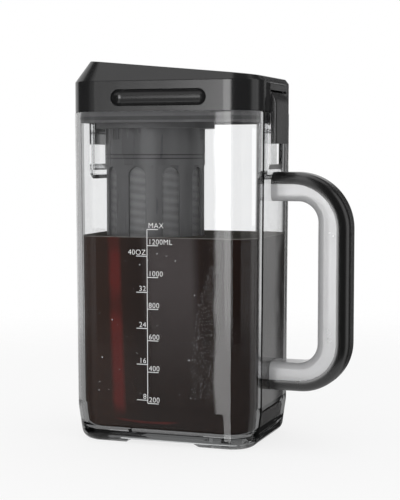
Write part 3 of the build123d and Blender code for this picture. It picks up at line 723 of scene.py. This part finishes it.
class BREW_OT_pour_coffee(bpy.types.Operator):
    """Fill the jug with coffee up to its level"""

    bl_idname = "brew.pour_coffee"
    bl_label = "Pour coffee"

    # Room that is left between the coffee and the jug's walls and floor
    ROOM = 1.2 * MM
    ROOM_BELOW = 0.4 * MM
    MENISCUS_WIDTH = 1.6 * MM
    MENISCUS_RISE = 0.9 * MM
    # Shares of that width and rise in each step from the wall inwards
    MENISCUS_STEPS = ((0.4, 0.7), (0.6, 0.3))
    # Edges that rise by more than this are the upright ones
    UPRIGHT = 10 * MM
    SMOOTH_ANGLE = 40

    def execute(self, context):
        settings = context.scene.jug_brew
        top = settings.level + self.MENISCUS_RISE
        inset = WALL + self.ROOM + wall_shrink(top)
        half_width = RIM_HALF_WIDTH - inset
        half_depth = RIM_HALF_DEPTH - inset
        low = FLOOR_Z + self.ROOM_BELOW
        deselect()
        bpy.ops.mesh.primitive_cube_add(size=1, location=(JUG_MIDDLE, 0, (low + top) / 2))
        coffee = bpy.context.object
        coffee.scale = (2 * half_width, 2 * half_depth, top - low)
        bpy.ops.object.transform_apply(location=True, rotation=True, scale=True)
        self.round_corners(coffee)
        self.lean_walls(coffee, top, low)
        self.round_heel(coffee, low)
        self.raise_edge(coffee, top)
        coffee = settle(coffee, "cold_brew")
        smooth(coffee, self.SMOOTH_ANGLE)
        paint(coffee, coffee_liquid("coffee", settings.body, settings.glow, top))
        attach(coffee, "jug")
        return {"FINISHED"}

    def round_corners(self, coffee):
        """Round the upright edges as the jug's inner corners are."""
        pick(coffee, "EDGE", lambda a, b: abs(a.z - b.z) > self.UPRIGHT)
        bpy.ops.mesh.bevel(offset=CORNER - WALL - self.ROOM, offset_type="OFFSET", segments=12, profile=0.5)

    def lean_walls(self, coffee, top, low):
        """Draft of the walls down to the heel, and of the heel below it."""
        pick(coffee, "FACE", lambda middle, normal: True)
        bpy.ops.mesh.bisect(plane_co=(0, 0, HEEL_Z), plane_no=(0, 0, 1))
        heel_shrink = (top - HEEL_Z) * math.tan(DRAFT)
        foot_shrink = heel_shrink + (HEEL_Z - low) * math.tan(HEEL_DRAFT)
        for level, shrink in ((HEEL_Z, heel_shrink), (low, foot_shrink)):
            pick(coffee, "VERT", lambda place: abs(place.z - level) < NEAR)
            size_x = 1 - shrink / (RIM_HALF_WIDTH - WALL)
            size_y = 1 - shrink / (RIM_HALF_DEPTH - WALL)
            bpy.ops.transform.resize(value=(size_x, size_y, 1), center_override=(JUG_MIDDLE, 0, level))

    def round_heel(self, coffee, low):
        """Ease the bend at the top of the heel and round the edge at its foot."""
        for level, offset, segments in ((HEEL_Z, HEEL_EASE, 4), (low, HEEL_ROUND, 6)):
            pick(coffee, "EDGE", lambda a, b: max(abs(a.z - level), abs(b.z - level)) < NEAR)
            bpy.ops.mesh.bevel(offset=offset, offset_type="OFFSET", segments=segments, profile=0.5)

    def raise_edge(self, coffee, top):
        """Meniscus: the surface lies below the line where it meets the wall."""
        pick(coffee, "FACE", lambda middle, normal: normal.z > 0.9 and middle.z > top - NEAR)
        for width, rise in self.MENISCUS_STEPS:
            bpy.ops.mesh.inset(thickness=self.MENISCUS_WIDTH * width, depth=0)
            bpy.ops.transform.translate(value=(0, 0, -self.MENISCUS_RISE * rise))


class BREW_OT_print_scale(bpy.types.Operator):
    """Print the volume scale on the front wall"""

    bl_idname = "brew.print_scale"
    bl_label = "Print scale"

    THICK = 0.03 * MM
    BASE_Z = 27.7 * MM
    MAX_Z = 137.8 * MM
    # Of each side of the scale: height of its zero, height of a step, volume of a step and number of marks
    LITRE_BASE_Z = 7.6 * MM
    LITRE_STEP = 20.0 * MM
    LITRE_VOLUME = 200
    LITRE_MARKS = 6
    OUNCE_BASE_Z = 6.65 * MM
    OUNCE_STEP = 22.85 * MM
    OUNCE_VOLUME = 8
    OUNCE_MARKS = 5
    # Figures: height as a share of the type's size, how much thinner they are drawn, how widely they are
    # set, and their gap from the lines
    LETTER_SHARE = 0.72
    THIN = 0.04 * MM
    SPACING = 1.06
    GAP = 0.8 * MM
    # Rounding of a line's corners as a share of its width
    LINE_ROUND = 0.2
    RIGHT = 1
    LEFT = -1

    def execute(self, context):
        self.settings = context.scene.jug_print
        self.line_x = JUG_MIDDLE + self.settings.line_x
        parts = [self.bar(self.line_x, self.BASE_Z, self.settings.line_width, self.MAX_Z - self.BASE_Z)]
        for step in range(1, self.LITRE_MARKS + 1):
            unit = "ML" if step == self.LITRE_MARKS else ""
            z = self.LITRE_BASE_Z + self.LITRE_STEP * step
            parts += self.mark(z, f"{self.LITRE_VOLUME * step}{unit}", self.RIGHT)
        parts += self.mark(self.MAX_Z, "MAX", self.RIGHT)
        for step in range(1, self.OUNCE_MARKS + 1):
            unit = "OZ" if step == self.OUNCE_MARKS else ""
            z = self.OUNCE_BASE_Z + self.OUNCE_STEP * step
            parts += self.mark(z, f"{self.OUNCE_VOLUME * step}{unit}", self.LEFT)
        scale = join(parts, "volume_scale")
        paint(scale, screen_print("white_print"))
        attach(scale, "jug")
        return {"FINISHED"}

    def mark(self, z, text, side):
        """A tick on one side of the upright, and the figures that stand on it."""
        width = self.settings.tick
        height = self.settings.line_width
        tick = self.bar(self.line_x + side * width / 2, z - height / 2, width, height)
        return [tick, self.words(text, self.line_x + side * self.GAP, z, side)]

    def on_wall(self, x, z):
        """Place just off the front wall, and the turn that lays a flat shape on it."""
        return (x, front_wall_y(z) - self.THICK / 2, z), (math.pi / 2 + DRAFT, 0, 0)

    def bar(self, x, z, width, height):
        """Printed bar with softly rounded corners that stands on z."""
        deselect()
        place, turn = self.on_wall(x, z + height / 2)
        bpy.ops.mesh.primitive_plane_add(size=1, location=place, rotation=turn)
        line = bpy.context.object
        line.scale = (width, height, 1)
        bpy.ops.object.transform_apply(location=False, rotation=False, scale=True)
        pick(line, "FACE", lambda middle, normal: True)
        bpy.ops.mesh.bevel(
            offset=min(width, height) * self.LINE_ROUND, offset_type="OFFSET", segments=1, affect="VERTICES",
        )
        bpy.ops.mesh.select_all(action="SELECT")
        bpy.ops.mesh.extrude_region_move(TRANSFORM_OT_translate={"value": (0, self.THICK, 0)})
        bpy.ops.mesh.select_all(action="SELECT")
        bpy.ops.mesh.normals_make_consistent(inside=False)
        bpy.ops.object.mode_set(mode="OBJECT")
        return line

    def words(self, text, x, z, side):
        """Figures that run away from x on one side."""
        deselect()
        place, turn = self.on_wall(x, z + self.GAP)
        bpy.ops.object.text_add(location=place, rotation=turn)
        label = bpy.context.object
        label.data.body = text
        label.data.align_x = "LEFT" if side == self.RIGHT else "RIGHT"
        label.data.size = self.settings.letters / self.LETTER_SHARE
        label.data.extrude = self.THICK / 2
        label.data.offset = -self.THIN
        label.data.space_character = self.SPACING
        label.data.resolution_u = 4
        bpy.ops.object.convert(target="MESH")
        return bpy.context.object


class BREW_OT_settle_dew(bpy.types.Operator):
    """Settle fine drops of dew on the cold front wall"""

    bl_idname = "brew.settle_dew"
    bl_label = "Settle dew"

    SEED = 7
    LARGEST = 0.6 * MM
    SMALLEST = 0.24 * MM
    # How much taller than wide a drop can be
    STRETCH = 0.5
    # Height of a drop as a share of its radius, and where it is cut flat as a share of that height
    FLATNESS = 0.36
    CUT = 0.1
    SMOOTH_ANGLE = 60
    # One drop in so many is spread over the wall, and few of these are large
    SPREAD_EVERY = 12
    RARITY = 4
    SPREAD_X = (-44 * MM, 44 * MM)
    SPREAD_Z = (28 * MM, 127 * MM)
    # The others sit evenly in one patch that narrows upwards from its left
    PATCH_X = (22 * MM, 41.5 * MM)
    PATCH_Z = (32 * MM, 116 * MM)
    PATCH_LEAN = 13 * MM
    LEAN_POWER = 3
    GOLDEN = 0.618034
    STRAY = 0.7 * MM
    # Their sizes, as shares of the smallest
    FINE_LEAST = 0.75
    FINE_SPREAD = 0.6

    def execute(self, context):
        chance = random.Random(self.SEED)
        drop = self.drop()
        copies = []
        drops = context.scene.jug_brew.drops
        for number in range(drops):
            if number % self.SPREAD_EVERY:
                x, z, size = self.patch_drop(chance, number, number / drops)
            else:
                x, z, size = self.spread_drop(chance)
            stretch = 1 + self.STRETCH * chance.random()
            mesh = drop.data.copy()
            place = Matrix.Translation((JUG_MIDDLE + x, front_wall_y(z), z))
            mesh.transform(place @ Matrix.Diagonal((size, size, size * stretch, 1)))
            copy = bpy.data.objects.new(f"drop_{number}", mesh)
            context.scene.collection.objects.link(copy)
            copies.append(copy)
        bpy.data.objects.remove(drop)
        dew = join(copies, "dew")
        smooth(dew, self.SMOOTH_ANGLE)
        paint(dew, dew_water("dew_water"))
        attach(dew, "jug")
        return {"FINISHED"}

    def patch_drop(self, chance, number, height):
        """Place and size of a fine drop in the patch, height being its share of the way up."""
        left, right = self.PATCH_X
        row = (left + self.PATCH_LEAN * height ** self.LEAN_POWER, right)
        x = share_of(row, number * self.GOLDEN % 1) + self.STRAY * chance.uniform(-1, 1)
        z = share_of(self.PATCH_Z, height) + self.STRAY * chance.uniform(-1, 1)
        return x, z, self.SMALLEST * (self.FINE_LEAST + self.FINE_SPREAD * chance.random())

    def spread_drop(self, chance):
        """Place and size of a drop anywhere on the wall."""
        x = chance.uniform(*self.SPREAD_X)
        z = chance.uniform(*self.SPREAD_Z)
        return x, z, share_of((self.SMALLEST, self.LARGEST), chance.random() ** self.RARITY)

    def drop(self):
        """Flattened dome, one unit in radius, that bulges towards the front."""
        deselect()
        bpy.ops.mesh.primitive_uv_sphere_add(segments=8, ring_count=6, radius=1, rotation=(math.pi / 2, 0, 0))
        drop = bpy.context.object
        drop.scale = (1, 1, self.FLATNESS)
        bpy.ops.object.transform_apply(location=True, rotation=True, scale=True)
        pick(drop, "FACE", lambda middle, normal: True)
        middle = (0, self.CUT * self.FLATNESS, 0)
        bpy.ops.mesh.bisect(plane_co=middle, plane_no=(0, 1, 0), use_fill=True, clear_outer=True)
        bpy.ops.object.mode_set(mode="OBJECT")
        return drop


class BREW_OT_set_stage(bpy.types.Operator):
    """Set the pale floor, the soft light and the camera"""

    bl_idname = "brew.set_stage"
    bl_label = "Set stage"

    RAY_KINDS = ("Camera", "Glossy", "Transmission")

    # The floor: how much of it glows of its own for the camera and glass, its tone through glass,
    # and the shares of its radius between which it fades away
    FLOOR_GLOW = 0.78
    FLOOR_THROUGH_GLASS = (0.15, 0.15, 0.15, 1)
    FLOOR_FADE = (0.35, 0.95)

    # Panels that gloss mirrors: both edges as bearings from the front towards the handle, softness
    # of the edges, all in degrees, and level
    PANELS = (
        (-178, -105, 4, 0.8),
        (-42, -18.8, 12, 0.3),
        (-18.79, 9, 0.2, 5.4),
        (86, 106, 12, 0.8),
        (107, 118, 3, 0.9),
        (160, 164, 0.4, 0.6),
    )
    # The same for the ceiling
    CEILING = (
        (-210, -112, 16, 1.1),
        (-72, 14, 16, 1.0),
        (120, 210, 20, 0.7),
    )
    # The same for what is seen through glass, by the angle from the view to the right
    BEHIND = (
        (-13, 9, 3, 0.95),
        (-128, -31, 3, 0.42),
        (-26, -17, 3, 0.5),
        (37, 150, 4, 0.6),
    )
    # Level between the panels
    DARK_ROOM = 0.05

    # The numbers below are rises of a ray, 1 being straight up. Between two of them a level changes, and
    # where four numbers stand, the last two are the level below and above them.
    # From the panels to the ceiling
    CEILING_EDGE = (0.72, 0.86)
    # The most that a panel shows, so that the lid's sloped top doesn't mirror the bright one
    PANEL_LIMIT = (0.1, 0.2, 6.0, 0.8)
    # Shade towards the floor
    LOW_SHADE = (-0.24, -0.02, 0.7, 1.0)
    # The pale table below, and its level
    LOW_EDGE = (-0.62, -0.46, 1.0, 0.0)
    LOW_LIGHT = 0.6
    # Through glass: steep rays and their level, rays that rise a little and theirs
    STEEP = (0.35, 0.6)
    STEEP_LIGHT = 0.2
    RISING = (0.07, 0.13)
    RISING_LIGHT = 0.16

    # Softboxes: place, target and size
    FRONT_BOX = ((0.03, -0.95, 0.30), (0, 0, 0.13), (0.55, 0.8))
    TOP_BOX = ((0.0, 0.1, 1.1), (0, 0, 0), (0.9, 0.9))

    def execute(self, context):
        settings = context.scene.jug_stage
        self.floor(settings.floor_radius)
        self.room(context.scene, settings.room_light)
        self.softbox("front_softbox", *self.FRONT_BOX, settings.front_power)
        self.softbox("top_softbox", *self.TOP_BOX, settings.top_power)
        self.camera(context.scene)
        return {"FINISHED"}

    def floor(self, radius):
        """Pale disc that fades out towards its edge, and that polished surfaces don't mirror."""
        deselect()
        bpy.ops.mesh.primitive_circle_add(vertices=96, radius=radius, fill_type="NGON")
        floor = settle(bpy.context.object, "floor")
        finish = new_finish("pale_floor")
        place = finish.place()
        distance = finish.add("ShaderNodeVectorMath", {"operation": "LENGTH"}, {0: place}, output="Value")
        paper = finish.blend(finish.noise(size=2 * MM, detail=3.0), *PAPER_TONES)
        matt = finish.add("ShaderNodeBsdfDiffuse", values={"Color": paper})
        path = self.ray_kinds(finish)
        tone = finish.blend(path["Camera"], self.FLOOR_THROUGH_GLASS, WHITE)
        glow = finish.add("ShaderNodeEmission", values={"Color": tone, "Strength": 1.0})
        seen = (path["Camera"] + path["Transmission"]) * self.FLOOR_GLOW
        sheet = finish.add("ShaderNodeMixShader", values={0: seen, 1: matt, 2: glow})
        near, far = self.FLOOR_FADE
        away = finish.ramp(distance, radius * near, radius * far)
        mirrored = path["Glossy"] * (1 - path["Transmission"])
        away = away + mirrored * (1 - away)
        clear = finish.add("ShaderNodeBsdfTransparent")
        paint(floor, finish.close(finish.add("ShaderNodeMixShader", values={0: away, 1: sheet, 2: clear})))

    def ray_kinds(self, finish):
        """Light Path's outputs for what looks at a surface."""
        path = finish.add("ShaderNodeLightPath").socket.node
        return {kind: Wire(finish, path.outputs[f"Is {kind} Ray"]) for kind in self.RAY_KINDS}

    def room(self, scene, room_light):
        """White to the camera; gloss mirrors soft panels, and glass shows a backdrop with dark gaps."""
        world = bpy.data.worlds.new("studio")
        scene.world = world
        room = Finish(world)
        x, y, z = room.axes(room.add("ShaderNodeTexCoord", output="Generated"))
        path = self.ray_kinds(room)
        level = room_light * (1 - path["Glossy"]) + self.mirrored_light(room, x, y, z) * path["Glossy"]
        through = self.light_through_glass(room, x, y, z)
        level = level * (1 - path["Transmission"]) + through * path["Transmission"]
        level = level * (1 - path["Camera"]) + path["Camera"]
        room.close(room.add("ShaderNodeBackground", values={"Color": WHITE, "Strength": level}))

    def mirrored_light(self, room, x, y, z):
        """Level of what gloss mirrors in a direction: panels round the object and over it, a table below."""
        bearing = x.angle(0 - y) * math.degrees(1)
        walls = self.panels(room, bearing, self.PANELS).at_most(room.ramp(z, *self.PANEL_LIMIT))
        ceiling = self.panels(room, bearing, self.CEILING)
        high = room.ramp(z, *self.CEILING_EDGE)
        level = (walls * (1 - high) + ceiling * high) * room.ramp(z, *self.LOW_SHADE)
        low = room.ramp(z, *self.LOW_EDGE)
        return level * (1 - low) + low * self.LOW_LIGHT

    def light_through_glass(self, room, x, y, z):
        """Level of what glass shows in a direction."""
        ahead = (CAMERA_TARGET - CAMERA_SPOT).xy.normalized()
        sideways = x * ahead.y - y * ahead.x
        forwards = x * ahead.x + y * ahead.y
        turn = sideways.angle(forwards) * math.degrees(1)
        level = self.panels(room, turn, self.BEHIND)
        steep = room.ramp(abs(z), *self.STEEP)
        level = level * (1 - steep) + steep * self.STEEP_LIGHT
        rising = room.ramp(z, *self.RISING)
        return level * (1 - rising) + rising * self.RISING_LIGHT

    def panels(self, room, bearing, panels):
        """Level of the light at a bearing."""
        level = self.DARK_ROOM
        for start, end, soft, strength in panels:
            level = room.band(bearing, start, end, soft) * strength + level
        return level

    def softbox(self, name, place, target, size, power):
        """Soft lamp that lights matt surfaces and isn't mirrored."""
        lamp = bpy.data.lights.new(name, "AREA")
        lamp.shape = "RECTANGLE"
        lamp.size, lamp.size_y = size
        lamp.energy = power
        self.aim(bpy.data.objects.new(name, lamp), Vector(place), Vector(target)).visible_glossy = False

    def camera(self, scene):
        """Long lens, a little above the jug's middle and round towards the handle."""
        view = bpy.data.cameras.new("camera")
        view.sensor_fit = "VERTICAL"
        view.sensor_height = FILM_HEIGHT
        view.lens = CAMERA_LENS
        view.clip_start = CLIP_START
        scene.camera = self.aim(bpy.data.objects.new("camera", view), CAMERA_SPOT, CAMERA_TARGET)
        scene.view_settings.view_transform = "Standard"

    def aim(self, thing, place, target):
        """Stand a lamp or camera at a place, looking at the target."""
        thing.location = place
        thing.rotation_euler = (target - place).to_track_quat("-Z", "Y").to_euler()
        bpy.context.scene.collection.objects.link(thing)
        return thing


# --- Sidebar ---

SETTINGS = {
    "jug_finish": FinishSettings,
    "jug_brew": BrewSettings,
    "jug_print": PrintSettings,
    "jug_stage": StageSettings,
}

STEPS = (
    BREW_OT_dress_jug,
    BREW_OT_dress_lid,
    BREW_OT_dress_filter,
    BREW_OT_pour_coffee,
    BREW_OT_print_scale,
    BREW_OT_settle_dew,
    BREW_OT_set_stage,
)


class BREW_PT_panel(bpy.types.Panel):
    """Sizes, colours and steps of the jug"""

    bl_idname = "BREW_PT_panel"
    bl_label = "Cold Brew Jug"
    bl_space_type = "VIEW_3D"
    bl_region_type = "UI"
    bl_category = "Cold Brew"

    def draw(self, context):
        """Every setting, then a button for every step."""
        for name in SETTINGS:
            settings = getattr(context.scene, name)
            for field in settings.bl_rna.properties:
                if field.identifier not in ("name", "rna_type"):
                    self.layout.prop(settings, field.identifier)
        for step in STEPS:
            self.layout.operator(step.bl_idname)


def register():
    """Make the settings, the steps and the panel known."""
    for group in SETTINGS.values():
        bpy.utils.register_class(group)
    for name, group in SETTINGS.items():
        setattr(bpy.types.Scene, name, PointerProperty(type=group))
    for step in STEPS:
        bpy.utils.register_class(step)
    bpy.utils.register_class(BREW_PT_panel)


def unregister():
    """Take all of that back."""
    bpy.utils.unregister_class(BREW_PT_panel)
    for step in reversed(STEPS):
        bpy.utils.unregister_class(step)
    for name, group in SETTINGS.items():
        delattr(bpy.types.Scene, name)
        bpy.utils.unregister_class(group)


def main():
    """Dress the jug and set the stage."""
    register()
    bpy.ops.brew.dress_jug()
    bpy.ops.brew.dress_lid()
    bpy.ops.brew.dress_filter()
    bpy.ops.brew.pour_coffee()
    bpy.ops.brew.print_scale()
    bpy.ops.brew.settle_dew()
    bpy.ops.brew.set_stage()


if __name__ == "__main__":
    main()
